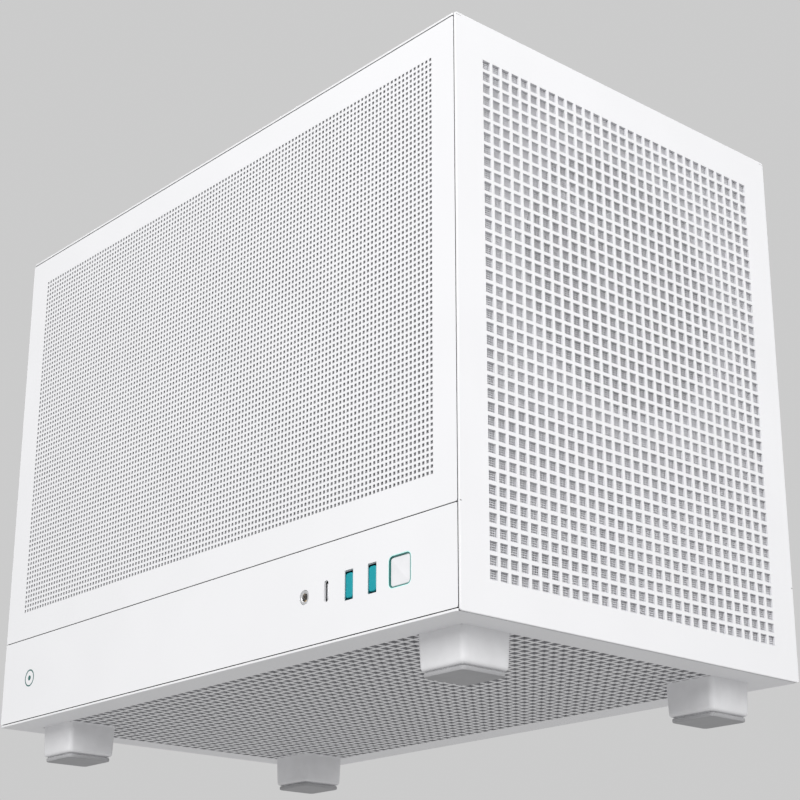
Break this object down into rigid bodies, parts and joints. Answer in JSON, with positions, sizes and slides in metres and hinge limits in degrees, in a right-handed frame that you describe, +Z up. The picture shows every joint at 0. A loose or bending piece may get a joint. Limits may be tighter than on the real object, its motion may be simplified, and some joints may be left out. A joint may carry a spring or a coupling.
{
  "type": "desktop computer tower",
  "caption": "Small white desktop computer tower: perforated steel case on four square feet, with side sockets, a power button and its working parts inside.",
  "frame": {"origin": "on the surface that the tower stands on, under the middle of the body", "axes": "+X towards the right side, +Y towards the back, +Z up; the sockets are on the left side, near the front"},
  "size_m": [0.2, 0.332, 0.267],
  "materials": {
    "case_paint": "fine powder coat",
    "frame_paint": "fine powder coat",
    "filter_mesh": "woven dust mesh",
    "foot_plastic": "moulded, satin",
    "pad_rubber": "soft pad",
    "clip_steel": "turned",
    "clip_plastic": "moulded",
    "button_plastic": "polished, faceted",
    "ring_plastic": "translucent light guide",
    "switch_plastic": "moulded",
    "socket_steel": "plated sheet",
    "tongue_plastic": "moulded teal",
    "board_white": "solder-masked laminate",
    "post_brass": "turned",
    "processor_steel": "nickel plated",
    "slot_plastic": "moulded",
    "module_cover": "painted spreader",
    "fin_aluminium": "pressed",
    "base_nickel": "nickel plated",
    "shield_steel": "plated sheet",
    "fan_white": "moulded",
    "fan_grey": "moulded",
    "supply_paint": "powder coat",
    "converter_board": "laminate with its parts",
    "inlet_plastic": "moulded",
    "card_plastic": "moulded",
    "lead_jacket": "flexible jacket",
    "screw_steel": "plated"
  },
  "bodies": {
    "chassis": {"bottom_panel": "case_paint", "bottom_filter": "filter_mesh", "front_frame": "frame_paint", "rear_panel": "case_paint", "top_rails": "frame_paint", "left_strip": "case_paint", "right_strip": "case_paint", "board_tray": "frame_paint", "supply_bracket": "frame_paint", "clip_sockets": "clip_plastic", "feet": "foot_plastic", "foot_pads": "pad_rubber", "button_ring": "ring_plastic", "power_switch": "switch_plastic", "usb_sockets": "socket_steel", "usb_tongues": "tongue_plastic", "small_usb_socket": "socket_steel", "audio_socket": "socket_steel", "socket_board": "board_white", "main_board": "board_white", "standoffs": "post_brass", "processor_socket": "processor_steel", "board_slots": "slot_plastic", "memory_modules": "module_cover", "board_heatsinks": "fin_aluminium", "rear_sockets": "socket_steel", "rear_shield": "shield_steel", "cooler_base": "base_nickel", "cooler_fins": "fin_aluminium", "cooler_fan_frame": "fan_white", "rear_fan_frame": "fan_white", "supply_case": "supply_paint", "supply_board": "converter_board", "supply_fan_frame": "fan_grey", "supply_inlet": "inlet_plastic", "card_board": "board_white", "card_heatsink": "fin_aluminium", "card_covers": "card_plastic", "slot_brackets": "shield_steel", "mains_lead": "lead_jacket", "inner_leads": "lead_jacket", "power_inlet": "inlet_plastic", "screws": "screw_steel"},
    "front": {"front_panel": "case_paint", "front_filter": "filter_mesh", "front_clips": "clip_steel"},
    "left_side": {"left_panel": "case_paint", "left_clips": "clip_steel"},
    "right_side": {"right_panel": "case_paint", "right_clips": "clip_steel"},
    "lid": {"top_panel": "case_paint", "top_clips": "clip_steel"},
    "button": {"power_button": "button_plastic", "switch_plunger": "switch_plastic"},
    "cooler_rotor": {"cooler_fan_rotor": "fan_white"},
    "rear_rotor": {"rear_fan_rotor": "fan_white"},
    "supply_rotor": {"supply_fan_rotor": "fan_grey"},
    "rocker": {"supply_switch": "switch_plastic"},
    "card_rotor_front": {"card_fan_front": "fan_white"},
    "card_rotor_back": {"card_fan_back": "fan_white"}
  },
  "joints": [
    {"name": "left_panel_pull", "type": "slide", "parent": "chassis", "child": "left_side", "axis": [-1, 0, 0], "range_m": [0, 0.08]},
    {"name": "right_panel_pull", "type": "slide", "parent": "chassis", "child": "right_side", "axis": [1, 0, 0], "range_m": [0, 0.08]},
    {"name": "front_panel_pull", "type": "slide", "parent": "chassis", "child": "front", "axis": [0, -1, 0], "range_m": [0, 0.08]},
    {"name": "top_panel_lift", "type": "slide", "parent": "chassis", "child": "lid", "axis": [0, 0, 1], "range_m": [0, 0.08]},
    {"name": "power_button_press", "type": "slide", "parent": "chassis", "child": "button", "axis": [1, 0, 0], "range_m": [0, 0.001], "stiffness_N_per_m": 900, "springref_m": -0.0008},
    {"name": "cooler_fan_spin", "type": "hinge", "parent": "chassis", "child": "cooler_rotor", "pos_m": [-0.0211, 0.063, 0.19], "axis": [0, 1, 0], "continuous": true},
    {"name": "rear_fan_spin", "type": "hinge", "parent": "chassis", "child": "rear_rotor", "pos_m": [-0.0313, 0.153, 0.19], "axis": [0, 1, 0], "continuous": true},
    {"name": "supply_fan_spin", "type": "hinge", "parent": "chassis", "child": "supply_rotor", "pos_m": [0, -0.1476, 0.176], "axis": [0, 1, 0], "continuous": true},
    {"name": "card_fan_front_spin", "type": "hinge", "parent": "chassis", "child": "card_rotor_front", "pos_m": [0.0164, 0.011, 0.0668], "axis": [0, 0, 1], "continuous": true},
    {"name": "card_fan_back_spin", "type": "hinge", "parent": "chassis", "child": "card_rotor_back", "pos_m": [0.0164, 0.107, 0.0668], "axis": [0, 0, 1], "continuous": true},
    {"name": "supply_switch_rock", "type": "hinge", "parent": "chassis", "child": "rocker", "pos_m": [-0.012, -0.0996, 0.2454], "axis": [0, 1, 0], "range_deg": [0, 16]}
  ]
}
